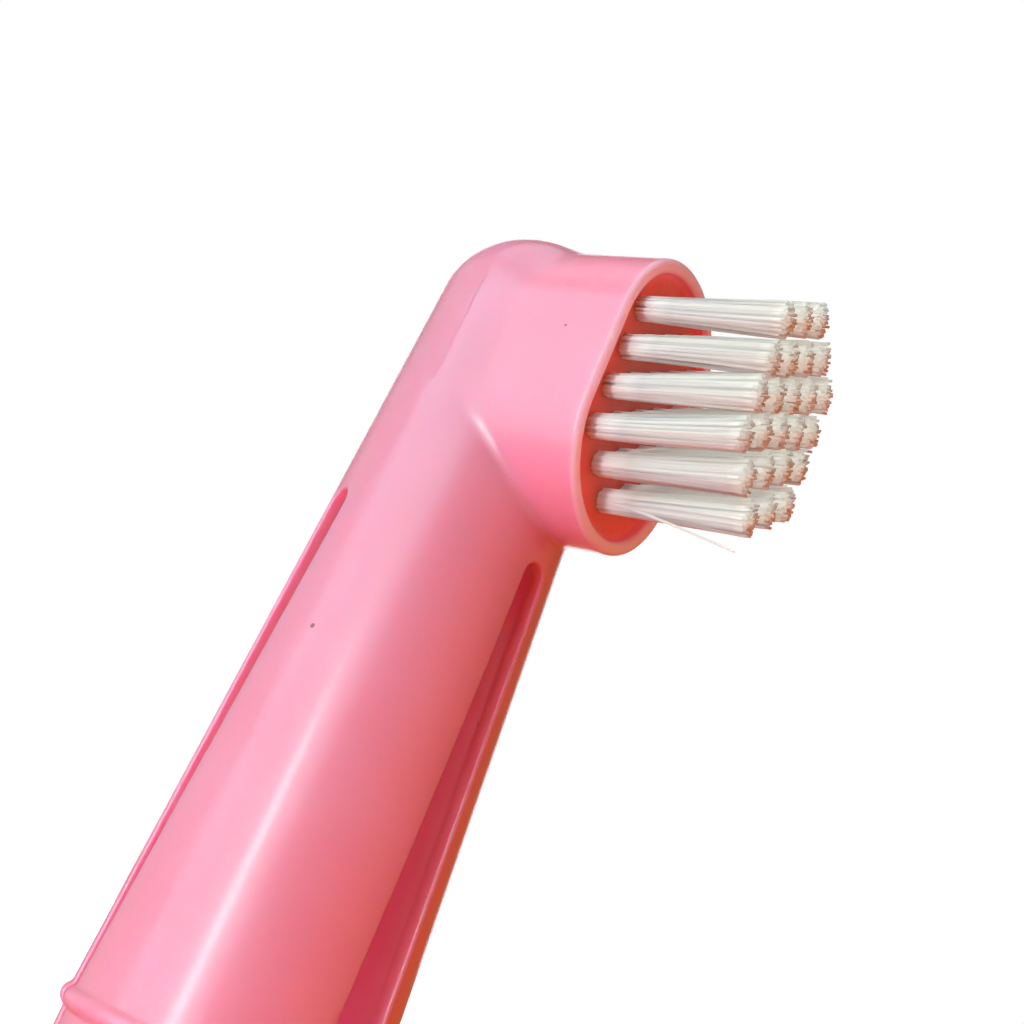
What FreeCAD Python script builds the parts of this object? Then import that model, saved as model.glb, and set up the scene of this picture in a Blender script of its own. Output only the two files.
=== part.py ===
"""Finger toothbrush: a tapered, slotted finger sleeve with an oval brush head near its tip.

Frame, in millimetres: +Z runs along the sleeve from its open end (z = 0) to the domed tip,
and the bristles point along +X.  XZ is the plane of symmetry, and the origin is the middle
of the open end.  The sleeve is one moulding.  Each tuft of bristles is folded over its own
anchor, a short piece of flat brass wire pressed across the bottom of a blind hole in the pad.
"""
import FreeCAD, Part
import math
import os

import Sketcher
from FreeCAD import Placement, Rotation, Vector

# ---------------------------------------------------------------- driving dimensions

SIZES = {
    # finger sleeve
    "sleeve_length": 58.0,      # open end to the top of the dome
    "base_radius": 9.4,         # outside of the cone, carried down to z = 0
    "taper_angle": 2.775,       # half angle of the cone, degrees
    "wall": 1.05,
    "corner_radius": 5.4,       # dome: the arc next to the cone
    "crown_radius": 8.6,        # dome: the flatter arc across the top
    # bead round the open end: a low band below a rounded ridge
    "band_radius": 9.15,
    "band_edge": 0.4,
    "band_height": 2.0,
    "bead_height": 3.2,
    "ridge_radius": 0.65,
    # three slots, which make three leaves
    "slot_count": 3,
    "slot_centre_height": 34.5,
    "slot_half_width_top": 1.15,
    "slot_half_width_base": 1.25,
    "slot_overshoot": 1.0,
    # oval collar of the brush head
    "collar_height": 47.5,      # its middle, along Z
    "collar_radius": 6.9,
    "collar_half_straight": 3.0,
    "rim_reach": 10.75,         # the rim's distance from the sleeve's axis
    "rim_width": 0.95,
    "rim_rounding": 0.3,
    "recess_depth": 0.6,
    # tufts, in five staggered columns
    "pattern_height": 47.8,     # middle of the tuft pattern, along Z
    "column_pitch": 2.12,
    "row_pitch": 2.86,
    "hole_radius": 0.8,
    "hole_depth": 2.8,
    "bristle_reach": 20.2,      # the bristle ends' distance from the sleeve's axis
    "tuft_tip_radius": 1.1,
    # anchors
    "anchor_thickness": 0.25,
    "anchor_width": 1.9,
    "anchor_depth": 1.2,
}

# the tufts in each column, from one side of the head to the other
COLUMN_COUNTS = {"a": 4, "b": 5, "c": 6, "d": 5, "e": 4}
MIDDLE_COLUMN = 2


def derive(size):
    """Add the sizes that follow from the driving ones."""
    taper = math.radians(size["taper_angle"])
    along = Vector(-math.sin(taper), 0, math.cos(taper))
    inward = Vector(-math.cos(taper), 0, -math.sin(taper))

    # the corner arc touches the cone and the crown arc, whose centre is on the axis
    crown = Vector(0, 0, size["sleeve_length"] - size["crown_radius"])
    start = Vector(size["base_radius"], 0, 0) + inward * size["corner_radius"] - crown
    gap = size["crown_radius"] - size["corner_radius"]
    half_b = start.dot(along)
    run = -half_b + math.sqrt(half_b ** 2 - start.dot(start) + gap ** 2)
    corner = crown + start + along * run
    outward = (corner - crown).normalize()

    for prefix, inset in (("outer", 0.0), ("inner", size["wall"])):
        shoulder = corner - inward * (size["corner_radius"] - inset)
        brow = crown + outward * (size["crown_radius"] - inset)
        size[prefix + "_shoulder_radius"] = shoulder.x
        size[prefix + "_shoulder_height"] = shoulder.z
        size[prefix + "_brow_radius"] = brow.x
        size[prefix + "_brow_height"] = brow.z
    size["inner_corner_radius"] = size["corner_radius"] - size["wall"]
    size["inner_crown_radius"] = size["crown_radius"] - size["wall"]
    size["inner_top"] = size["sleeve_length"] - size["wall"]
    size["inner_base_radius"] = size["base_radius"] - size["wall"] / math.cos(taper)
    size["bead_top_radius"] = size["base_radius"] - size["bead_height"] * math.tan(taper)
    size["band_foot_radius"] = size["band_radius"] - size["band_edge"]
    size["slot_half_width_below"] = size["slot_half_width_base"] + size["slot_overshoot"] * (
        size["slot_half_width_base"] - size["slot_half_width_top"]
    ) / size["slot_centre_height"]

    size["recess_radius"] = size["collar_radius"] - size["rim_width"]
    size["floor_reach"] = size["rim_reach"] - size["recess_depth"]
    size["hole_bottom_reach"] = size["floor_reach"] - size["hole_depth"]
    size["anchor_top_reach"] = size["hole_bottom_reach"] + size["anchor_depth"]
    size["free_length"] = size["bristle_reach"] - size["floor_reach"]


derive(SIZES)
doc = FreeCAD.newDocument("finger_toothbrush")
sheet = doc.addObject("Spreadsheet::Sheet", "Dims")
for row, (alias, value) in enumerate(SIZES.items(), start=1):
    sheet.set("A%d" % row, alias)
    sheet.set("B%d" % row, repr(value))
    sheet.setAlias("B%d" % row, alias)
doc.recompute()


def bind(target, prop, expression):
    """Tie a property of an object to the sheet; names in the expression are aliases."""
    target.setExpression(prop, expression)


# ---------------------------------------------------------------- sketch helpers

ORIGIN_POINT = (-1, 1)
START, END, CENTRE = 1, 2, 3


def add_sketch(body, name, role, reach=None):
    """A sketch on one of the body's own origin planes, moved out by a cell of the sheet."""
    sketch = body.newObject("Sketcher::SketchObject", name)
    plane = [item for item in body.Origin.OriginFeatures if item.Role == role][0]
    sketch.AttachmentSupport = [(plane, "")]
    sketch.MapMode = "FlatFace"
    if reach:
        bind(sketch, "AttachmentOffset.Base.z", "Dims." + reach)
    return sketch


def place_point(sketch, point, u, v):
    """Fix a sketch point by (value, expression) pairs; the expressions give positive lengths."""
    for kind, axis, (value, expression) in (("DistanceX", -2, u), ("DistanceY", -1, v)):
        if abs(value) < 1e-9:
            sketch.addConstraint(Sketcher.Constraint("PointOnObject", point[0], point[1], axis))
            continue
        ends = ORIGIN_POINT + point if value > 0 else point + ORIGIN_POINT
        index = sketch.addConstraint(Sketcher.Constraint(kind, *ends, abs(value)))
        bind(sketch, "Constraints[%d]" % index, expression)


def cell(alias, sign=1):
    """The value of a cell and its expression, for place_point."""
    return (sign * SIZES[alias], "Dims." + alias)


ZERO = (0.0, "0")


def arc_through(first, last, radius):
    """The short arc between two points; it bulges to the right of the way from first to last."""
    chord = last - first
    side = Vector(-chord.y, chord.x, 0).normalize()
    rise = math.sqrt(radius ** 2 - (chord.Length / 2) ** 2)
    centre = (first + last) * 0.5 + side * rise
    start = math.atan2(first.y - centre.y, first.x - centre.x)
    finish = math.atan2(last.y - centre.y, last.x - centre.x)
    return Part.ArcOfCircle(Part.Circle(centre, Vector(0, 0, 1), radius), start, finish)


def outline(sketch, corners, radii):
    """A closed outline through corners, anticlockwise.

    radii gives, by the index of the corner where it starts, the cell of each arc's radius;
    every other side is straight.
    """
    points = [Vector(u[0], v[0], 0) for u, v in corners]
    sides = []
    for index, first in enumerate(points):
        last = points[(index + 1) % len(points)]
        if index in radii:
            sides.append(sketch.addGeometry(arc_through(first, last, SIZES[radii[index]])))
        else:
            sides.append(sketch.addGeometry(Part.LineSegment(first, last)))
    for index, side in enumerate(sides):
        following = sides[(index + 1) % len(sides)]
        sketch.addConstraint(Sketcher.Constraint("Coincident", side, END, following, START))
    for index, (u, v) in enumerate(corners):
        place_point(sketch, (sides[index], START), u, v)
    for index, alias in radii.items():
        radius = sketch.addConstraint(Sketcher.Constraint("Radius", sides[index], SIZES[alias]))
        bind(sketch, "Constraints[%d]" % radius, "Dims." + alias)


def stadium(sketch, radius_alias):
    """The oval of the brush head: two half circles joined by straight sides."""
    radius = SIZES[radius_alias]
    middle, half = SIZES["collar_height"], SIZES["collar_half_straight"]
    up = Vector(0, 0, 1)
    upper = Part.Circle(Vector(0, middle + half, 0), up, radius)
    lower = Part.Circle(Vector(0, middle - half, 0), up, radius)
    corner = [Vector(side * radius, middle + end * half, 0) for side, end in
              ((1, -1), (1, 1), (-1, 1), (-1, -1))]
    right = sketch.addGeometry(Part.LineSegment(corner[0], corner[1]))
    top = sketch.addGeometry(Part.ArcOfCircle(upper, 0, math.pi))
    left = sketch.addGeometry(Part.LineSegment(corner[2], corner[3]))
    bottom = sketch.addGeometry(Part.ArcOfCircle(lower, math.pi, 2 * math.pi))
    for first, second in ((right, top), (top, left), (left, bottom), (bottom, right)):
        sketch.addConstraint(Sketcher.Constraint("Tangent", first, END, second, START))
    for arc, height, sign in ((top, middle + half, "+"), (bottom, middle - half, "-")):
        place_point(sketch, (arc, CENTRE), ZERO,
                    (height, "Dims.collar_height %s Dims.collar_half_straight" % sign))
    index = sketch.addConstraint(Sketcher.Constraint("Radius", top, radius))
    bind(sketch, "Constraints[%d]" % index, "Dims." + radius_alias)
    sketch.addConstraint(Sketcher.Constraint("Vertical", right))


# ---------------------------------------------------------------- tuft pattern

def tuft_places():
    """Name, column offset and row offset of each tuft, offsets in pitches from the middle."""
    places = []
    for column, (letter, count) in enumerate(COLUMN_COUNTS.items()):
        for number in range(count):
            places.append((letter + str(number + 1), column - MIDDLE_COLUMN,
                           (count - 1) / 2 - number))
    return places


TUFTS = tuft_places()


def tuft_centre(column, row):
    """A tuft's Y and Z with their expressions."""
    return (
        (column * SIZES["column_pitch"], "Dims.column_pitch * %d" % column),
        (SIZES["pattern_height"] + row * SIZES["row_pitch"],
         "Dims.pattern_height + Dims.row_pitch * %.1f" % row),
    )


# ---------------------------------------------------------------- finger sleeve

def finger_sleeve():
    """The moulding: tapered sleeve, dome, bead, collar with its pad, slots and tuft holes."""
    body = doc.addObject("PartDesign::Body", "finger_sleeve")

    outside = add_sketch(body, "outside_profile", "XZ_Plane")
    outline(outside, [
        (ZERO, ZERO),
        (cell("band_foot_radius"), ZERO),
        (cell("band_radius"), cell("band_edge")),
        (cell("band_radius"), cell("band_height")),
        (cell("bead_top_radius"), cell("bead_height")),
        (cell("outer_shoulder_radius"), cell("outer_shoulder_height")),
        (cell("outer_brow_radius"), cell("outer_brow_height")),
        (ZERO, cell("sleeve_length")),
    ], {1: "band_edge", 3: "ridge_radius", 5: "corner_radius", 6: "crown_radius"})
    shell = body.newObject("PartDesign::Revolution", "outer_shell")
    shell.Profile = outside
    shell.ReferenceAxis = (outside, ["V_Axis"])
    shell.Angle = 360

    oval = add_sketch(body, "collar_outline", "YZ_Plane")
    stadium(oval, "collar_radius")
    collar = body.newObject("PartDesign::Pad", "collar")
    collar.Profile = oval
    bind(collar, "Length", "Dims.rim_reach")

    inside = add_sketch(body, "cavity_profile", "XZ_Plane")
    outline(inside, [
        (ZERO, ZERO),
        (cell("inner_base_radius"), ZERO),
        (cell("inner_shoulder_radius"), cell("inner_shoulder_height")),
        (cell("inner_brow_radius"), cell("inner_brow_height")),
        (ZERO, cell("inner_top")),
    ], {2: "inner_corner_radius", 3: "inner_crown_radius"})
    cavity = body.newObject("PartDesign::Groove", "finger_cavity")
    cavity.Profile = inside
    cavity.ReferenceAxis = (inside, ["V_Axis"])
    cavity.Angle = 360

    floor = add_sketch(body, "recess_outline", "YZ_Plane", "rim_reach")
    stadium(floor, "recess_radius")
    recess = body.newObject("PartDesign::Pocket", "brush_recess")
    recess.Profile = floor
    bind(recess, "Length", "Dims.recess_depth")
    doc.recompute()

    rounding = body.newObject("PartDesign::Fillet", "rim_rounding")
    rounding.Base = (recess, edges_at_reach(recess.Shape, SIZES["rim_reach"]))
    bind(rounding, "Radius", "Dims.rim_rounding")

    slot = add_sketch(body, "slot_outline", "YZ_Plane")
    outline(slot, [
        (cell("slot_half_width_below", -1), (-SIZES["slot_overshoot"], "Dims.slot_overshoot")),
        (cell("slot_half_width_below"), (-SIZES["slot_overshoot"], "Dims.slot_overshoot")),
        (cell("slot_half_width_top"), cell("slot_centre_height")),
        (ZERO, (SIZES["slot_centre_height"] + SIZES["slot_half_width_top"],
                "Dims.slot_centre_height + Dims.slot_half_width_top")),
        (cell("slot_half_width_top", -1), cell("slot_centre_height")),
    ], {2: "slot_half_width_top", 3: "slot_half_width_top"})
    first_slot = body.newObject("PartDesign::Pocket", "front_slot")
    first_slot.Profile = slot
    first_slot.Type = "ThroughAll"
    first_slot.Reversed = True
    slots = body.newObject("PartDesign::PolarPattern", "slots")
    slots.Originals = [first_slot]
    axis = [item for item in body.Origin.OriginFeatures if item.Role == "Z_Axis"][0]
    slots.Axis = (axis, [""])
    slots.Angle = 360
    bind(slots, "Occurrences", "Dims.slot_count")
    body.Tip = slots

    circles = add_sketch(body, "hole_circles", "YZ_Plane", "floor_reach")
    for index, (_, column, row) in enumerate(TUFTS):
        y, z = tuft_centre(column, row)
        circle = circles.addGeometry(
            Part.Circle(Vector(y[0], z[0], 0), Vector(0, 0, 1), SIZES["hole_radius"]))
        place_point(circles, (circle, CENTRE),
                    (y[0], "Dims.column_pitch * %d" % abs(column)), z)
        if index == 0:
            radius = circles.addConstraint(
                Sketcher.Constraint("Radius", circle, SIZES["hole_radius"]))
            bind(circles, "Constraints[%d]" % radius, "Dims.hole_radius")
        else:
            circles.addConstraint(Sketcher.Constraint("Equal", 0, circle))
    holes = body.newObject("PartDesign::Pocket", "tuft_holes")
    holes.Profile = circles
    bind(holes, "Length", "Dims.hole_depth")

    bites = add_sketch(body, "anchor_bites", "YZ_Plane", "anchor_top_reach")
    for _, column, row in TUFTS:
        anchor_bite(bites, column, row)
    grips = body.newObject("PartDesign::Pocket", "anchor_slits")
    grips.Profile = bites
    bind(grips, "Length", "Dims.anchor_depth")
    body.Tip = grips
    doc.recompute()
    return body


def edges_at_reach(shape, reach):
    """Names of the edges that lie in the plane X = reach."""
    names = []
    for number, edge in enumerate(shape.Edges, start=1):
        box = edge.BoundBox
        if abs(box.XMin - reach) < 1e-4 and abs(box.XMax - reach) < 1e-4:
            names.append("Edge%d" % number)
    return names


def anchor_bite(sketch, column, row):
    """The rectangle that one anchor's slit takes up, seen along X."""
    y, z = tuft_centre(column, row)
    half_width, half_thickness = SIZES["anchor_width"] / 2, SIZES["anchor_thickness"] / 2
    low = Vector(y[0] - half_width, z[0] - half_thickness, 0)
    high = Vector(y[0] + half_width, z[0] + half_thickness, 0)
    corners = [low, Vector(high.x, low.y, 0), high, Vector(low.x, high.y, 0)]
    sides = [sketch.addGeometry(Part.LineSegment(corners[i], corners[(i + 1) % 4]))
             for i in range(4)]
    for index, side in enumerate(sides):
        sketch.addConstraint(
            Sketcher.Constraint("Coincident", side, END, sides[(index + 1) % 4], START))
        direction = "Horizontal" if index % 2 == 0 else "Vertical"
        sketch.addConstraint(Sketcher.Constraint(direction, side))
    along, across = "Dims.anchor_width / 2", "Dims.anchor_thickness / 2"
    pitch = "Dims.column_pitch * %d" % abs(column)
    for point, sign in (((sides[0], START), -1), ((sides[2], START), 1)):
        u = y[0] + sign * half_width
        # the expression is a length from the axis, so the half width is added on the far side
        beyond = (sign > 0) == (column >= 0)
        if column == 0:
            u_text = along
        else:
            u_text = pitch + (" + " if beyond else " - ") + along
        v_text = z[1] + (" + " if sign > 0 else " - ") + across
        place_point(sketch, point, (u, u_text), (z[0] + sign * half_thickness, v_text))


# ---------------------------------------------------------------- tufts and anchors

POINT_ALONG_X = Rotation(Vector(0, 1, 0), 90)


def place_at(item, reach, column, row, rotation, shift=("", "")):
    """Put a piece at its hole: its Placement follows the sheet."""
    y, z = tuft_centre(column, row)
    item.Placement = Placement(Vector(SIZES[reach], y[0], z[0]), rotation)
    bind(item, "Placement.Base.x", "Dims." + reach)
    bind(item, "Placement.Base.y", y[1] + shift[0])
    bind(item, "Placement.Base.z", z[1] + shift[1])


def tuft(name, column, row):
    """One bundle of bristles, a solid that stands for its filaments.

    Its own Z runs from the bottom of the hole to the bristle ends; the anchor's notch is cut
    out of its folded end.
    """
    shank = doc.addObject("Part::Cylinder", "shank_" + name)
    bind(shank, "Radius", "Dims.hole_radius")
    bind(shank, "Height", "Dims.hole_depth")
    flare = doc.addObject("Part::Cone", "flare_" + name)
    bind(flare, "Radius1", "Dims.hole_radius")
    bind(flare, "Radius2", "Dims.tuft_tip_radius")
    bind(flare, "Height", "Dims.free_length")
    bind(flare, "Placement.Base.z", "Dims.hole_depth")
    bundle = doc.addObject("Part::Fuse", "bundle_" + name)
    bundle.Base, bundle.Tool = shank, flare
    bundle.Refine = True
    fold = doc.addObject("Part::Box", "fold_" + name)
    bind(fold, "Length", "Dims.anchor_thickness")
    bind(fold, "Width", "Dims.anchor_width")
    bind(fold, "Height", "Dims.anchor_depth")
    bind(fold, "Placement.Base.x", "-Dims.anchor_thickness / 2")
    bind(fold, "Placement.Base.y", "-Dims.anchor_width / 2")
    item = doc.addObject("Part::Cut", "tuft_" + name)
    item.Base, item.Tool = bundle, fold
    place_at(item, "hole_bottom_reach", column, row, POINT_ALONG_X)
    return item


def anchor(name, column, row):
    """The flat brass wire that holds one tuft."""
    item = doc.addObject("Part::Box", "anchor_" + name)
    bind(item, "Length", "Dims.anchor_depth")
    bind(item, "Width", "Dims.anchor_width")
    bind(item, "Height", "Dims.anchor_thickness")
    place_at(item, "hole_bottom_reach", column, row, Rotation(),
             (" - Dims.anchor_width / 2", " - Dims.anchor_thickness / 2"))
    return item


# ---------------------------------------------------------------- build, check and write

pieces = [finger_sleeve()]
for tuft_name, tuft_column, tuft_row in TUFTS:
    pieces.append(tuft(tuft_name, tuft_column, tuft_row))
    pieces.append(anchor(tuft_name, tuft_column, tuft_row))
for piece in pieces:
    piece.Label = piece.Name
doc.recompute()

for item in doc.Objects:
    faults = [word for word in item.State if word in ("Invalid", "Error")]
    if faults:
        raise RuntimeError("%s did not build: %s" % (item.Label, ", ".join(faults)))
for piece in pieces:
    if piece.Shape.isNull() or not piece.Shape.isValid():
        raise RuntimeError("%s has no valid shape" % piece.Label)
    if len(piece.Shape.Solids) != 1:
        raise RuntimeError("%s is %d solids" % (piece.Label, len(piece.Shape.Solids)))

os.makedirs("parts", exist_ok=True)
for piece in pieces:
    piece.Shape.exportStep("parts/%s.step" % piece.Label)

box = pieces[0].Shape.BoundBox
print("pieces %d, sleeve %.2f x %.2f x %.2f mm, volume %.1f mm3" % (
    len(pieces), box.XLength, box.YLength, box.ZLength, pieces[0].Shape.Volume))
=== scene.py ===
"""Looks of the finger toothbrush: the pink sleeve, its bristles, the light and the camera.

Everything is in metres in the frame of the CAD model: +Z from the open end to the domed tip,
+X the way the bristles point, XZ the plane of symmetry.  The sleeve's surface is found as the
zero level of a distance function, so that every edge is rounded as a moulding's are.
"""
import math

import bmesh
import bpy
import numpy as np
from mathutils import Matrix, Vector


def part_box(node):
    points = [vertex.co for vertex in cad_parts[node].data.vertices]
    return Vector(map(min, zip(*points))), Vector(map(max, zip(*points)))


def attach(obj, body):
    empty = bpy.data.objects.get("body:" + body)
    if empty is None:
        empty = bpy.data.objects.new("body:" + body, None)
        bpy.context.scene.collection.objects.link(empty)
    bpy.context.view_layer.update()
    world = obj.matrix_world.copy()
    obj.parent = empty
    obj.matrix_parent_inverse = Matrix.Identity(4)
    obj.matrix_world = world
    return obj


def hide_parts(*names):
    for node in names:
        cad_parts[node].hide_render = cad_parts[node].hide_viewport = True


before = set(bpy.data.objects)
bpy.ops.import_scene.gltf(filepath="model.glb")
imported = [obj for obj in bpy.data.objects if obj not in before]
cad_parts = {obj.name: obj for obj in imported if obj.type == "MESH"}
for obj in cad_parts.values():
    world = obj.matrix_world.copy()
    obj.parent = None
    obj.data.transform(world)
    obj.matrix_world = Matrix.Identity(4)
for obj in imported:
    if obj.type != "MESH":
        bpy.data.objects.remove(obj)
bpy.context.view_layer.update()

MM = 0.001
rng = np.random.default_rng(7)


# ---------------------------------------------------------------- sizes, in millimetres

sleeve_low, sleeve_high = (np.array(corner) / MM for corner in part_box("finger_sleeve"))
LENGTH = sleeve_high[2]
RIM_REACH = sleeve_high[0]

# the tapered body, and the corner and the crown that close it
BASE_RADIUS = 9.4
TAPER = math.radians(2.775)
WALL = 1.05
CORNER_RADIUS = 5.4
CROWN_RADIUS = 8.6

# the open end: a plain band with a rounded foot, below a round bead
BAND_RADIUS = 9.15
BAND_EDGE = 0.75
BAND_HEIGHT = 2.0
BEAD_HEIGHT = 3.2
RIDGE_RADIUS = 0.65

# the slots: where their round tops are centred, and half their width there and at the open end
SLOT_CENTRE_HEIGHT = 34.5
SLOT_HALF_TOP = 1.15
SLOT_HALF_BASE = 1.25

# The leaf on the -Y side is flexed sideways by this much at the open end, and so it narrows the
# slot behind it as much as it widens the front one.  By slot: its turn, then how much of that
# its low side and its high side take part in.
LEAF_DRIFT = 1.85
LEAF_BEND = 1.25
SLOTS = ((0.0, -1, 0), (120.0, 0, 0), (240.0, 0, -1))

# the oval collar round the brush head, and the recess inside its rim
COLLAR_HEIGHT = 47.5
COLLAR_RADIUS = 6.9
COLLAR_HALF_STRAIGHT = 3.0
RIM_WIDTH = 0.95
RECESS_DEPTH = 0.6
RECESS_FADE = 0.5
FLOOR_REACH = RIM_REACH - RECESS_DEPTH

# the mouths of the tufts' holes, and how far below them the distance function looks for holes
HOLE_RADIUS = 0.62
HOLE_DEPTH = 0.9
HOLE_CLEARANCE = 1.0

# the radii that the moulding's edges and inner corners are rounded with
COLLAR_BLEND = 0.45
EDGE_ROUND = 0.2
RIM_ROUND = 0.36
FLOOR_ROUND = 0.3
BEAD_BLEND = 0.12

# the grid that the surface is found on, how far it goes beyond the sleeve's box, and where
# faces are split: at edges whose ends' normals are this many degrees apart, and how often
GRID_STEP = 0.4
GRID_MARGIN = 1.0
SPLIT_ANGLE = 17.0
SPLIT_ROUNDS = 2


def tuft_axes():
    """The Y and Z of each tuft's middle, in mm, by node name."""
    places = {}
    for name in sorted(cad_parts):
        if name.startswith("tuft_"):
            low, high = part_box(name)
            middle = (low + high) / 2 / MM
            places[name] = (middle.y, middle.z)
    return places


TUFTS = tuft_axes()


# ---------------------------------------------------------------- distance function of the sleeve

def round_union(a, b, radius):
    """The union of two solids with a hollow fillet where they meet."""
    rounded = radius - np.hypot(np.maximum(radius - a, 0), np.maximum(radius - b, 0))
    return np.where((a < radius) & (b < radius), np.minimum(rounded, np.minimum(a, b)),
                    np.minimum(a, b))


def round_cut(a, tool, radius):
    """Solid a less the tool, with its new edges rounded over."""
    b = -tool
    rounded = np.hypot(np.maximum(radius + a, 0), np.maximum(radius + b, 0)) - radius
    return np.where((a > -radius) & (b > -radius), np.maximum(rounded, np.maximum(a, b)),
                    np.maximum(a, b))


def profile_distance(rho, z):
    """Distance from the sleeve's outer profile: cone, corner arc and crown arc, in one plane."""
    along = np.array([-math.sin(TAPER), math.cos(TAPER)])
    outward = np.array([math.cos(TAPER), math.sin(TAPER)])
    crown = np.array([0.0, LENGTH - CROWN_RADIUS])
    start = np.array([BASE_RADIUS, 0.0]) - outward * CORNER_RADIUS - crown
    gap = CROWN_RADIUS - CORNER_RADIUS
    run = -start @ along + math.sqrt((start @ along) ** 2 - start @ start + gap ** 2)
    corner = crown + start + along * run
    lean = (corner - crown) / gap

    cone = (rho - BASE_RADIUS) * outward[0] + z * outward[1]
    arc = np.hypot(rho - corner[0], z - corner[1]) - CORNER_RADIUS
    top = np.hypot(rho - crown[0], z - crown[1]) - CROWN_RADIUS
    beyond_cone = (rho - corner[0]) * along[0] + (z - corner[1]) * along[1] > 0
    in_crown = (rho - crown[0]) * lean[1] - (z - crown[1]) * lean[0] < 0
    return np.where(beyond_cone, np.where(in_crown, top, arc), cone)


def stadium_distance(y, z, radius):
    """Distance from the oval of the brush head, seen along X."""
    up = np.abs(z - COLLAR_HEIGHT)
    return np.hypot(y, np.maximum(up - COLLAR_HALF_STRAIGHT, 0)) - radius


def bead_distance(rho, z):
    """The low band with its rounded foot, and the round ridge above it, in one plane."""
    top = BASE_RADIUS - BEAD_HEIGHT * math.tan(TAPER)
    low, high = np.array([BAND_RADIUS, BAND_HEIGHT]), np.array([top, BEAD_HEIGHT])
    half = np.linalg.norm(high - low) / 2
    side = np.array([-(high - low)[1], (high - low)[0]]) / (2 * half)
    centre = (low + high) / 2 + side * math.sqrt(RIDGE_RADIUS ** 2 - half ** 2)
    ridge = np.hypot(rho - centre[0], z - centre[1]) - RIDGE_RADIUS
    band = np.maximum(rho - BAND_RADIUS, z - (BAND_HEIGHT + BEAD_HEIGHT) / 2)
    band = round_cut(band, z, BAND_EDGE)
    return round_union(ridge, band, BEAD_BLEND)


def slot_distance(x, y, z, turn, low_part, high_part):
    """A slot with a round top, whose sides may each stand aside with a flexed leaf."""
    c, s = math.cos(math.radians(turn)), math.sin(math.radians(turn))
    out, across = c * x + s * y, -s * x + c * y
    below = np.maximum(SLOT_CENTRE_HEIGHT - z, 0) / SLOT_CENTRE_HEIGHT
    half = SLOT_HALF_TOP + (SLOT_HALF_BASE - SLOT_HALF_TOP) * below
    drift = LEAF_DRIFT * below ** LEAF_BEND
    sides = np.maximum(low_part * drift - half - across, across - half - high_part * drift)
    cap = np.hypot(across, z - SLOT_CENTRE_HEIGHT) - SLOT_HALF_TOP
    return np.maximum(np.where(z > SLOT_CENTRE_HEIGHT, cap, sides), -out)


def sleeve_distance(points):
    """Signed distance from the moulding's surface, in mm, for an array of points."""
    x, y, z = points[..., 0], points[..., 1], points[..., 2]
    rho = np.hypot(x, y)
    profile = profile_distance(rho, z)
    cone = np.maximum(profile, (BAND_HEIGHT + BEAD_HEIGHT) / 2 - z)
    body = round_union(cone, bead_distance(rho, z), BEAD_BLEND)

    oval = stadium_distance(y, z, COLLAR_RADIUS)
    collar = round_cut(np.maximum(oval, -x), RIM_REACH - x, RIM_ROUND)
    solid = round_union(body, collar, COLLAR_BLEND)

    inset = stadium_distance(y, z, COLLAR_RADIUS - RIM_WIDTH)
    recess = -round_union(-inset, x - FLOOR_REACH, FLOOR_ROUND)
    solid = round_cut(solid, recess, RIM_ROUND)

    solid = round_cut(solid, z, EDGE_ROUND)
    solid = round_cut(solid, profile + WALL, EDGE_ROUND)
    for turn, low_part, high_part in SLOTS:
        slot = slot_distance(x, y, z, turn, low_part, high_part)
        solid = round_cut(solid, slot, EDGE_ROUND)

    near = x > FLOOR_REACH - HOLE_DEPTH - HOLE_CLEARANCE
    if np.any(near):
        holes = np.full(x[near].shape, np.inf)
        for middle in TUFTS.values():
            holes = np.minimum(holes, np.hypot(y[near] - middle[0], z[near] - middle[1]))
        holes = np.maximum(holes - HOLE_RADIUS, FLOOR_REACH - HOLE_DEPTH - x[near])
        solid[near] = round_cut(solid[near], holes, EDGE_ROUND / 2)
    return solid


# ---------------------------------------------------------------- surface from a distance function

def surface_nets(field, origin, step):
    """Vertices and quads of the zero level of a field sampled on a grid."""
    inside = field < 0
    shape = np.array(field.shape) - 1
    count = np.zeros(shape, np.int8)
    offsets = [(i, j, k) for i in (0, 1) for j in (0, 1) for k in (0, 1)]
    for i, j, k in offsets:
        count += inside[i:i + shape[0], j:j + shape[1], k:k + shape[2]]
    cells = np.argwhere((count > 0) & (count < 8))
    number = np.full(shape, -1, np.int64)
    number[tuple(cells.T)] = np.arange(len(cells))

    total = np.zeros((len(cells), 3))
    crossings = np.zeros(len(cells))
    for first in offsets:
        for axis in range(3):
            if first[axis]:
                continue
            second = list(first)
            second[axis] = 1
            a = field[tuple((cells + first).T)]
            b = field[tuple((cells + second).T)]
            hit = (a < 0) != (b < 0)
            share = np.where(hit, a / np.where(hit, a - b, 1), 0)
            point = np.array(first, float) + share[:, None] * (np.array(second) - first)
            total += np.where(hit[:, None], point, 0)
            crossings += hit
    vertices = origin + (cells + total / crossings[:, None]) * step

    quads = []
    for axis in range(3):
        low = inside[tuple(slice(0, -1) if a == axis else slice(1, -1) for a in range(3))]
        high = inside[tuple(slice(1, None) if a == axis else slice(1, -1) for a in range(3))]
        edges = np.argwhere(low != high)
        falling = low[tuple(edges.T)]
        edges = edges + [0 if a == axis else 1 for a in range(3)]
        u, v = (axis + 1) % 3, (axis + 2) % 3
        ring = []
        for du, dv in ((-1, -1), (0, -1), (0, 0), (-1, 0)):
            cell = edges.copy()
            cell[:, u] += du
            cell[:, v] += dv
            ring.append(number[tuple(cell.T)])
        ring = np.stack(ring, 1)
        quads.append(np.where(falling[:, None], ring, ring[:, ::-1]))
    return vertices, np.concatenate(quads)


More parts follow.
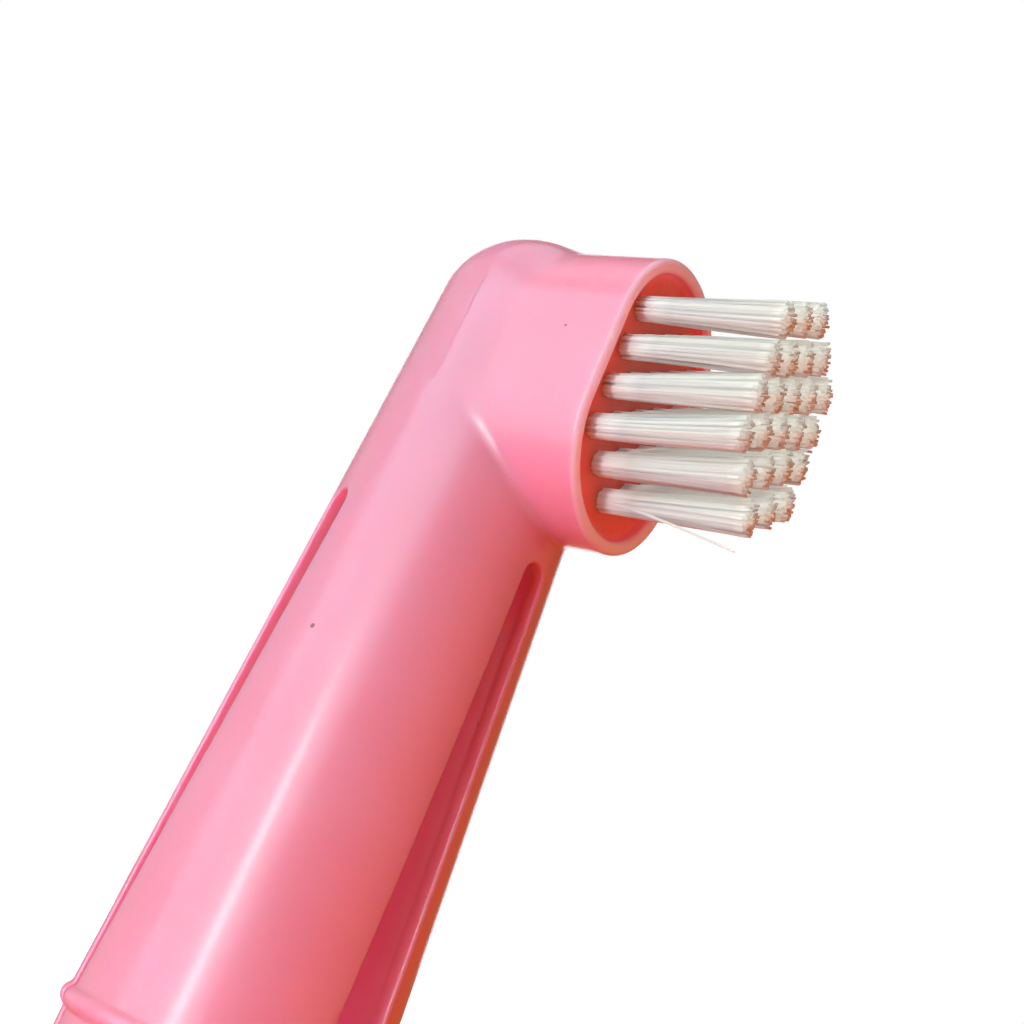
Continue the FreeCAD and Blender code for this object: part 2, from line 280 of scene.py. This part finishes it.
def gradient(distance, points, reach=0.01):
    """Unit normals of a distance function at points."""
    slope = np.empty_like(points)
    for axis in range(3):
        shift = np.zeros(3)
        shift[axis] = reach
        slope[:, axis] = distance(points + shift) - distance(points - shift)
    return slope / np.maximum(np.linalg.norm(slope, axis=1, keepdims=True), 1e-9)


def settle(distance, points, rounds=3):
    """Points moved on to the zero level."""
    for _ in range(rounds):
        points = points - gradient(distance, points) * distance(points)[:, None]
    return points


def coordinates(bm):
    """The places of a bmesh's vertices, as an array."""
    return np.array([v.co for v in bm.verts], float)


def refine(bm, distance):
    """Split faces where the surface bends sharply, and settle the new corners on the surface."""
    normals = gradient(distance, coordinates(bm))
    bm.edges.index_update()
    limit = math.cos(math.radians(SPLIT_ANGLE))
    bent = [e for e in bm.edges
            if normals[e.verts[0].index] @ normals[e.verts[1].index] < limit]
    faces = {face for edge in bent for face in edge.link_faces}
    edges = {edge for face in faces for edge in face.edges}
    edges = sorted(edges, key=lambda edge: edge.index)
    bmesh.ops.subdivide_edges(bm, edges=edges, cuts=1, use_grid_fill=True)
    bm.verts.index_update()
    moved = settle(distance, coordinates(bm))
    for vertex, place in zip(bm.verts, moved):
        vertex.co = place


def mesh_of(name, distance, low, high):
    """A mesh object of a distance function's zero level inside a box."""
    axes = [np.arange(low[a], high[a] + GRID_STEP, GRID_STEP) for a in range(3)]
    grid = np.stack(np.meshgrid(*axes, indexing="ij"), -1)
    field = distance(grid)
    vertices, quads = surface_nets(field, np.array(low), GRID_STEP)
    vertices = settle(distance, vertices)

    mesh = bpy.data.meshes.new(name)
    mesh.from_pydata(vertices.tolist(), [], quads.tolist())
    bm = bmesh.new()
    bm.from_mesh(mesh)
    for _ in range(SPLIT_ROUNDS):
        refine(bm, distance)
    bmesh.ops.recalc_face_normals(bm, faces=bm.faces)
    bm.to_mesh(mesh)
    bm.free()

    points = np.array([v.co for v in mesh.vertices], float)
    normals = gradient(distance, points)
    mesh.transform(Matrix.Scale(MM, 4))
    mesh.shade_smooth()
    mesh.normals_split_custom_set_from_vertices(normals.tolist())
    return link(name, mesh)


def link(name, mesh):
    """A new object that holds a mesh."""
    piece = bpy.data.objects.new(name, mesh)
    bpy.context.scene.collection.objects.link(piece)
    return piece


# ---------------------------------------------------------------- bristles

# a bundle: its filaments, how far it opens towards the tips, how much shorter its edge is, and
# how deep in their hole the filaments start, as a share of its depth
FILAMENTS = 76
FILAMENT_RADIUS = 0.085
FILAMENT_SIDES = 6
FILAMENT_RINGS = 8
BUNDLE_RADIUS = 0.74
TIP_SPREAD = 1.5
SPLAY_CURVE = 1.15
EDGE_DROP = 0.14
ROOT_DEPTH = 0.8

# spreads of the random differences between filaments: length, tip, sideways, bow and turn
LENGTH_SCATTER = 0.11
TIP_SCATTER = 0.05
SPREAD_SCATTER = 0.06
BOW_SCATTER = 0.04
TURN_SCATTER = 0.1

ROOT_REACH = FLOOR_REACH - HOLE_DEPTH * ROOT_DEPTH
TIP_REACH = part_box("tuft_c1")[1].x / MM
GOLDEN_ANGLE = math.pi * (3 - math.sqrt(5))

# how far the normals lean to the bundle's, to the -Y side and, over TIP_GLOW, to the tips
MILKINESS = 0.8
SOFT_LIGHT = 0.35
TIP_GLOW = 0.7
TIP_TURN = 0.5

# the loose filament: its place in the bundle, where along it the droop starts, and how it goes
STRAY_PLACE = (-0.7, -0.5)
STRAY_START = 0.2
STRAY_DROP = 1.7
STRAY_CURVE = 1.2
STRAY_SHORT = 0.2

# the tufts in the lower middle of the head lean towards the sleeve's tip, as after use
LEAN = 0.75
LEAN_HEIGHT = 44.3
LEAN_RANGE = 4.0


def filament_path(middle, index, lean):
    """The points along one filament, from inside its hole to its cut end, in mm."""
    radius = BUNDLE_RADIUS * math.sqrt((index + 0.5) / FILAMENTS)
    angle = index * GOLDEN_ANGLE + rng.normal(0, TURN_SCATTER)
    offset = radius * np.array([math.cos(angle), math.sin(angle)])
    spread = offset * (TIP_SPREAD - 1) + rng.normal(0, SPREAD_SCATTER, 2) + lean
    bow = rng.normal(0, BOW_SCATTER, 2)
    tip = TIP_REACH - abs(rng.normal(0, LENGTH_SCATTER)) + rng.normal(0, TIP_SCATTER)
    tip -= EDGE_DROP * (radius / BUNDLE_RADIUS) ** 2
    share = np.linspace(0, 1, FILAMENT_RINGS)
    free = np.clip((share * (tip - ROOT_REACH) - (FLOOR_REACH - ROOT_REACH))
                   / (tip - FLOOR_REACH), 0, 1)
    sideways = (np.array(middle) + offset)[None] + np.outer(free ** SPLAY_CURVE, spread)
    sideways += np.outer(np.sin(free * math.pi), bow)
    return np.column_stack([ROOT_REACH + share * (tip - ROOT_REACH), sideways])


def stray_path(middle):
    """One filament that has come loose from its tuft and droops away from it."""
    share = np.linspace(0, 1, FILAMENT_RINGS)
    drop = STRAY_DROP * np.clip((share - STRAY_START) / (1 - STRAY_START), 0, 1) ** STRAY_CURVE
    path = np.empty((FILAMENT_RINGS, 3))
    path[:, 0] = ROOT_REACH + share * (TIP_REACH - STRAY_SHORT - ROOT_REACH)
    path[:, 1] = middle[0] + BUNDLE_RADIUS * STRAY_PLACE[0]
    path[:, 2] = middle[1] + BUNDLE_RADIUS * STRAY_PLACE[1] - drop
    return path


def add_tube(path, vertices, faces, along):
    """Append a filament, a round tube with closed ends, that follows a path roughly along X."""
    base = len(vertices)
    turns = np.arange(FILAMENT_SIDES) * 2 * math.pi / FILAMENT_SIDES
    circle = np.column_stack([np.zeros_like(turns), np.cos(turns), np.sin(turns)])
    last = len(path) - 1
    for ring, point in enumerate(path):
        vertices.extend((point + circle * FILAMENT_RADIUS).tolist())
        along.extend([ring / last] * FILAMENT_SIDES)
    for ring in range(last):
        first = base + ring * FILAMENT_SIDES
        for side in range(FILAMENT_SIDES):
            following = (side + 1) % FILAMENT_SIDES
            faces.append((first + side, first + following,
                          first + FILAMENT_SIDES + following, first + FILAMENT_SIDES + side))
    faces.append(tuple(base + side for side in reversed(range(FILAMENT_SIDES))))
    end = base + last * FILAMENT_SIDES
    faces.append(tuple(end + side for side in range(FILAMENT_SIDES)))


def bristle_bundle(name, middle, lean, stray=None):
    """One tuft: a bundle of separate filaments, some a little longer, that opens outward."""
    vertices, faces, along, tone = [], [], [], []
    paths = [filament_path(middle, index, lean) for index in range(FILAMENTS)]
    if stray is not None:
        paths.append(stray)
    for path in paths:
        before = len(vertices)
        add_tube(path, vertices, faces, along)
        tone.extend([rng.random()] * (len(vertices) - before))
    mesh = bpy.data.meshes.new(name)
    mesh.from_pydata((np.array(vertices) * MM).tolist(), [], faces)
    mesh.attributes.new("along", "FLOAT", "POINT").data.foreach_set("value", along)
    mesh.attributes.new("tone", "FLOAT", "POINT").data.foreach_set("value", tone)
    mesh.shade_smooth()
    mesh.normals_split_custom_set(milky_normals(mesh, middle, paths).tolist())
    return link(name, mesh)


def milky_normals(mesh, middle, paths):
    """Normals by face corner that lean to the bundle's own, and to the side of the key light.

    This stands for light that passes through and between the filaments.
    """
    corner_vertex = np.empty(len(mesh.loops), int)
    mesh.loops.foreach_get("vertex_index", corner_vertex)
    own = np.array([v.normal for v in mesh.vertices])
    own[:, 0] = 0
    own /= np.linalg.norm(own, axis=1, keepdims=True)
    roots = np.array([path[0, 1:] for path in paths]) - middle
    outward = np.column_stack([np.zeros(len(roots)), roots / BUNDLE_RADIUS])
    per_filament = FILAMENT_RINGS * FILAMENT_SIDES
    mixed = (1 - MILKINESS) * own + MILKINESS * np.repeat(outward, per_filament, axis=0)
    reach = np.array([v.co.x for v in mesh.vertices]) / MM - (TIP_REACH - TIP_GLOW)
    mixed[:, 0] += np.clip(reach / TIP_GLOW, 0, 1) * TIP_TURN
    mixed[:, 1] -= SOFT_LIGHT
    mixed /= np.linalg.norm(mixed, axis=1, keepdims=True)
    return mixed[corner_vertex]


# ---------------------------------------------------------------- materials

PINK_DEEP = (0.83, 0.225, 0.315, 1)
PINK_PALE = (0.85, 0.245, 0.345, 1)
# painted red glow in the recess, for light that has come through the plastic
RECESS_PAINTED_GLOW = (0.97, 0.11, 0.085, 1)
# painted light on the thin rim
RIM_PAINTED_LIGHT = (0.95, 0.62, 0.68, 1)
SPECK_RED = (0.30, 0.03, 0.04, 1)

# specks: cells to the metre, their size in a cell, and the share of the cells without one
SPECK_CELLS = 260.0
SPECK_SIZE = 0.045
SPECK_FREE = 0.8

# colour along a bristle, from its hole at 0 to its cut end at 1: the pale pink near the hole is
# painted glow and painted light, for light through the plastic and against the collar's shadow; the
# lighter cut end is painted light against its shade; the shaft between is the nylon's warm beige
NYLON_ALONG_WITH_PAINTED_LIGHT = ((0.06, (1.0, 0.92, 0.90, 1)),
               (0.18, (0.84, 0.74, 0.68, 1)),
               (0.30, (0.58, 0.485, 0.425, 1)),
               (0.93, (0.61, 0.51, 0.43, 1)),
               (1.0, (0.76, 0.70, 0.58, 1)))
NYLON_TONES = (0.93, 1.05)

BRASS_GRAIN = ((0.0, (0.62, 0.43, 0.16, 1)),
               (1.0, (0.82, 0.62, 0.28, 1)))


def mark_head(mesh):
    """Store how far each point of the sleeve belongs to the head's recess and to its rim, the masks
    for the painted red glow in the recess and the painted paler rim.
    """
    points = np.array([v.co for v in mesh.vertices], float) / MM
    inset = -stadium_distance(points[:, 1], points[:, 2], COLLAR_RADIUS - RIM_WIDTH)
    inside = points[:, 0] > FLOOR_REACH - HOLE_DEPTH - RIM_ROUND
    share = np.where(inside, np.clip(inset / RECESS_FADE, 0, 1), 0)
    mesh.attributes.new("recess", "FLOAT", "POINT").data.foreach_set("value", share)
    edge = np.clip((points[:, 0] - RIM_REACH) / RIM_ROUND + 1, 0, 1)
    mesh.attributes.new("rim", "FLOAT", "POINT").data.foreach_set("value", edge)


def new_material(name):
    """An empty node material with its Principled shader."""
    material = bpy.data.materials.new(name)
    material.use_nodes = True
    return material, material.node_tree, material.node_tree.nodes["Principled BSDF"]


def add_node(tree, kind, **settings):
    """A new node, with values for its inputs or, where it has no such input, its properties."""
    node = tree.nodes.new(kind)
    for key, value in settings.items():
        if key in node.inputs:
            node.inputs[key].default_value = value
        else:
            setattr(node, key, value)
    return node


def colour_ramp(tree, share, stops):
    """The colour at a share, from two or more stops of position and colour, lowest first."""
    node = add_node(tree, "ShaderNodeValToRGB")
    elements = node.color_ramp.elements
    for element, (position, colour) in zip(elements, (stops[0], stops[-1])):
        element.position = position
        element.color = colour
    for position, colour in stops[1:-1]:
        elements.new(position).color = colour
    tree.links.new(share, node.inputs["Fac"])
    return node.outputs["Color"]


def paint_over(tree, under, share, over):
    """One colour painted over another by a share from 0 to 1."""
    mix = add_node(tree, "ShaderNodeMix", data_type="RGBA")
    tree.links.new(share, mix.inputs["Factor"])
    tree.links.new(under, mix.inputs["A"])
    mix.inputs["B"].default_value = over
    return mix.outputs["Result"]


def map_range(tree, value, low, high):
    """A value from 0 to 1 stretched to run from low to high."""
    node = add_node(tree, "ShaderNodeMapRange")
    node.inputs["To Min"].default_value = low
    node.inputs["To Max"].default_value = high
    tree.links.new(value, node.inputs["Value"])
    return node.outputs["Result"]


def combine(tree, operation, first, second):
    """A maths operation on two sockets, or on a socket and a number."""
    node = add_node(tree, "ShaderNodeMath", operation=operation)
    tree.links.new(first, node.inputs[0])
    if isinstance(second, float):
        node.inputs[1].default_value = second
    else:
        tree.links.new(second, node.inputs[1])
    return node.outputs["Value"]


def attribute(tree, name):
    """A number that is stored on the mesh's points."""
    return add_node(tree, "ShaderNodeAttribute", attribute_name=name).outputs["Fac"]


def pink_plastic():
    """Soft gloss plastic, a little translucent, so that thin and shaded parts glow red, with a
    painted red glow in the recess and painted light on the rim.
    """
    material, tree, shader = new_material("pink_plastic")
    place = add_node(tree, "ShaderNodeTexCoord").outputs["Object"]
    cloud = add_node(tree, "ShaderNodeTexNoise", Scale=130.0, Detail=1.0)
    tree.links.new(place, cloud.inputs["Vector"])
    colour = colour_ramp(tree, cloud.outputs["Fac"], ((0.3, PINK_DEEP), (0.7, PINK_PALE)))
    colour = paint_over(tree, colour, specks(tree, place), SPECK_RED)
    # painted glow: the recess is painted a deeper red for the light that reaches its bottom through
    # the plastic
    recess = attribute(tree, "recess")
    colour = paint_over(tree, colour, recess, RECESS_PAINTED_GLOW)
    # painted light: the thin rim is painted paler, for the light that it catches and passes
    colour = paint_over(tree, colour, attribute(tree, "rim"), RIM_PAINTED_LIGHT)
    tree.links.new(colour, shader.inputs["Base Color"])

    # fine lines along the sleeve, where the moulding was drawn off its core
    lengthwise = add_node(tree, "ShaderNodeMapping", Scale=(1500.0, 1500.0, 40.0))
    tree.links.new(place, lengthwise.inputs["Vector"])
    lines = add_node(tree, "ShaderNodeTexNoise", Scale=1.0, Detail=2.0)
    tree.links.new(lengthwise.outputs["Vector"], lines.inputs["Vector"])
    gloss = map_range(tree, lines.outputs["Fac"], 0.34, 0.40)
    tree.links.new(combine(tree, "MAXIMUM", gloss, recess), shader.inputs["Roughness"])
    bump = add_node(tree, "ShaderNodeBump", Strength=0.04, Distance=0.00002)
    tree.links.new(lines.outputs["Fac"], bump.inputs["Height"])
    tree.links.new(bump.outputs["Normal"], shader.inputs["Normal"])

    shader.inputs["Subsurface Weight"].default_value = 1.0
    shader.inputs["Subsurface Radius"].default_value = (1.0, 0.11, 0.2)
    shader.inputs["Subsurface Scale"].default_value = 0.005
    shader.inputs["IOR"].default_value = 1.5
    shader.inputs["Coat Weight"].default_value = 0.5
    shader.inputs["Coat Roughness"].default_value = 0.2
    return material


def specks(tree, place):
    """Where the rare dark specks are that moulded plastic has: 1 on a speck, 0 elsewhere."""
    cells = add_node(tree, "ShaderNodeTexVoronoi", Scale=SPECK_CELLS)
    tree.links.new(place, cells.inputs["Vector"])
    near = combine(tree, "LESS_THAN", cells.outputs["Distance"], SPECK_SIZE)
    apart = add_node(tree, "ShaderNodeSeparateColor")
    tree.links.new(cells.outputs["Color"], apart.inputs["Color"])
    rare = combine(tree, "GREATER_THAN", apart.outputs["Red"], SPECK_FREE)
    return combine(tree, "MULTIPLY", near, rare)


def bristle_nylon():
    """Warm white filaments, beige along their length, painted pale pink and brightest near their
    holes for light through the plastic and against the collar's shadow, and painted lighter at their
    cut ends against their shade.
    """
    material, tree, shader = new_material("bristle_nylon")
    # painted glow near the holes and painted light at the cut ends, over the nylon's own colour
    colour = colour_ramp(tree, attribute(tree, "along"), NYLON_ALONG_WITH_PAINTED_LIGHT)
    shade = add_node(tree, "ShaderNodeVectorMath", operation="SCALE")
    tree.links.new(colour, shade.inputs[0])
    tree.links.new(map_range(tree, attribute(tree, "tone"), *NYLON_TONES), shade.inputs["Scale"])
    tree.links.new(shade.outputs["Vector"], shader.inputs["Base Color"])
    shader.inputs["Roughness"].default_value = 0.38
    shader.inputs["Subsurface Weight"].default_value = 0.6
    shader.inputs["Subsurface Radius"].default_value = (1.0, 0.9, 0.8)
    shader.inputs["Subsurface Scale"].default_value = 0.0006
    return material


def brass():
    """Drawn brass wire, mottled finely."""
    material, tree, shader = new_material("brass_wire")
    place = add_node(tree, "ShaderNodeTexCoord")
    grain = add_node(tree, "ShaderNodeTexNoise", Scale=4000.0, Detail=2.0)
    tree.links.new(place.outputs["Object"], grain.inputs["Vector"])
    tree.links.new(colour_ramp(tree, grain.outputs["Fac"], BRASS_GRAIN), shader.inputs["Base Color"])
    shader.inputs["Metallic"].default_value = 1.0
    shader.inputs["Roughness"].default_value = 0.35
    return material


def studio_white():
    """The floor's pale paint, with a glow that makes it as white as the surround."""
    material, _, shader = new_material("floor_white")
    shader.inputs["Base Color"].default_value = (0.8, 0.8, 0.8, 1)
    shader.inputs["Roughness"].default_value = 0.9
    shader.inputs["Emission Color"].default_value = (0.86, 0.92, 1.0, 1)
    shader.inputs["Emission Strength"].default_value = 1.0
    return material


# ---------------------------------------------------------------- the object

PINK, NYLON, BRASS = pink_plastic(), bristle_nylon(), brass()
sleeve = mesh_of("sleeve_moulding", sleeve_distance,
                 sleeve_low - GRID_MARGIN, sleeve_high + GRID_MARGIN)
sleeve.data.materials.append(PINK)
mark_head(sleeve.data)
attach(sleeve, "root")
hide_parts("finger_sleeve")

for node_name, tuft_middle in TUFTS.items():
    code = node_name.split("_")[1]
    lean = LEAN * math.exp(-((tuft_middle[1] - LEAN_HEIGHT) / LEAN_RANGE) ** 2)
    stray = stray_path(tuft_middle) if code == "c6" else None
    bundle = bristle_bundle("bristles_" + code, tuft_middle, np.array([0.0, lean]), stray)
    bundle.data.materials.append(NYLON)
    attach(bundle, "root")
    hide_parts(node_name)
    bundle.visible_shadow = False

for node_name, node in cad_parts.items():
    if node_name.startswith("anchor_"):
        node.data.materials.clear()
        node.data.materials.append(BRASS)


# ---------------------------------------------------------------- studio

# the points that the lights face, in mm
BODY, NECK, HEAD = (0, 0, 30), (5, 0, 35), (5, 0, 40)

FLOOR_HALF = 3.0

# the surround's light on the object, from below and from above, over this height of its sphere
LIGHT_BELOW = (0.66, 0.18, 0.05, 1)
LIGHT_ABOVE = (0.27, 0.12, 0.06, 1)
HORIZON_BLUR = 0.4

# the camera: lens in mm, angles in degrees, distance and aim in mm
LENS = 49.67
AZIMUTH, ELEVATION, ROLL = 35.39, -18.89, 23.01
DISTANCE = 89.67
AIM = (4.457, -0.453, 38.619)


def area_light(name, place, towards, size, power, colour=(1, 1, 1)):
    """A rectangular soft light, placed and sized in mm, that faces a point."""
    data = bpy.data.lights.new(name, "AREA")
    data.shape = "RECTANGLE"
    data.size, data.size_y = size[0] * MM, size[1] * MM
    data.energy = power
    data.color = colour
    lamp = bpy.data.objects.new(name, data)
    bpy.context.scene.collection.objects.link(lamp)
    lamp.location = Vector(place) * MM
    direction = (Vector(towards) - Vector(place)).normalized()
    lamp.rotation_euler = direction.to_track_quat("-Z", "Y").to_euler()
    return lamp


def studio():
    """A pale floor, a white surround and soft lights."""
    half = FLOOR_HALF
    floor_mesh = bpy.data.meshes.new("floor")
    floor_mesh.from_pydata([(-half, -half, 0), (half, -half, 0), (half, half, 0), (-half, half, 0)],
                           [], [(0, 1, 2, 3)])
    floor = link("floor", floor_mesh)
    floor.data.materials.append(studio_white())
    # the floor only shows: light from below reaches the object, as on a glass table
    floor.visible_diffuse = False
    floor.visible_glossy = False
    floor.visible_transmission = False
    floor.visible_shadow = False

    surround()
    # cool, mostly from the near side, with a narrow strip for the long streak on the sleeve
    area_light("key", (-86, -335, 85), BODY, (455, 500), 1.72, (0.46, 0.95, 1.11))
    area_light("strip", (6, -300, 15), BODY, (28, 160), 0.36, (0.95, 0.97, 0.92))
    area_light("left", (-300, -120, 90), BODY, (420, 420), 0.2, (0.5, 0.9, 0.65))
    area_light("top", (-40, -90, 400), HEAD, (380, 300), 0.4, (0.8, 0.95, 1.1))
    area_light("low", (-60, -220, -250), HEAD, (300, 300), 0.32, (0.42, 0.44, 1.1))
    area_light("back", (-220, 310, 180), BODY, (280, 340), 0.65, (0.62, 0.95, 1.05))
    # warm from the bristles' side, for the red that light takes on inside the plastic
    area_light("side", (190, 270, 140), NECK, (200, 260), 0.08, (1.0, 0.45, 0.35))
    area_light("front", (330, -20, 40), HEAD, (300, 300), 0.2, (1.0, 0.2, 0.02))


def surround():
    """A surround that looks white, and lights the object dimly, with more red from below."""
    world = bpy.data.worlds.new("surround")
    bpy.context.scene.world = world
    world.use_nodes = True
    tree = world.node_tree
    seen = tree.nodes["Background"]
    seen.inputs["Color"].default_value = (1, 1, 1, 1)
    seen.inputs["Strength"].default_value = 1.0

    place = add_node(tree, "ShaderNodeTexCoord")
    apart = add_node(tree, "ShaderNodeSeparateXYZ")
    tree.links.new(place.outputs["Generated"], apart.inputs["Vector"])
    height = add_node(tree, "ShaderNodeMapRange")
    height.inputs["From Min"].default_value = -HORIZON_BLUR
    height.inputs["From Max"].default_value = HORIZON_BLUR
    tree.links.new(apart.outputs["Z"], height.inputs["Value"])
    shade = colour_ramp(tree, height.outputs["Result"], ((0.0, LIGHT_BELOW), (1.0, LIGHT_ABOVE)))
    lit = add_node(tree, "ShaderNodeBackground", Strength=1.0)
    tree.links.new(shade, lit.inputs["Color"])

    path = add_node(tree, "ShaderNodeLightPath")
    mix = add_node(tree, "ShaderNodeMixShader")
    tree.links.new(path.outputs["Is Camera Ray"], mix.inputs["Fac"])
    tree.links.new(lit.outputs["Background"], mix.inputs[1])
    tree.links.new(seen.outputs["Background"], mix.inputs[2])
    tree.links.new(mix.outputs["Shader"], tree.nodes["World Output"].inputs["Surface"])


def camera():
    """The view along which the brush head is seen from below and from its near side."""
    data = bpy.data.cameras.new("camera")
    data.sensor_width = 36.0
    data.lens = LENS
    data.clip_start = 0.001
    eye = bpy.data.objects.new("camera", data)
    bpy.context.scene.collection.objects.link(eye)
    azimuth, elevation, roll = (math.radians(a) for a in (AZIMUTH, ELEVATION, ROLL))
    back = Vector((math.sin(azimuth) * math.cos(elevation),
                   -math.cos(azimuth) * math.cos(elevation), math.sin(elevation)))
    right = Vector((math.cos(azimuth), math.sin(azimuth), 0))
    up = back.cross(right)
    turned = math.cos(roll) * right + math.sin(roll) * up
    lifted = math.cos(roll) * up - math.sin(roll) * right
    place = Matrix.Translation((Vector(AIM) + DISTANCE * back) * MM)
    eye.matrix_world = place @ Matrix((turned, lifted, back)).transposed().to_4x4()
    bpy.context.scene.camera = eye


studio()
camera()
bpy.context.scene.view_settings.view_transform = "Standard"
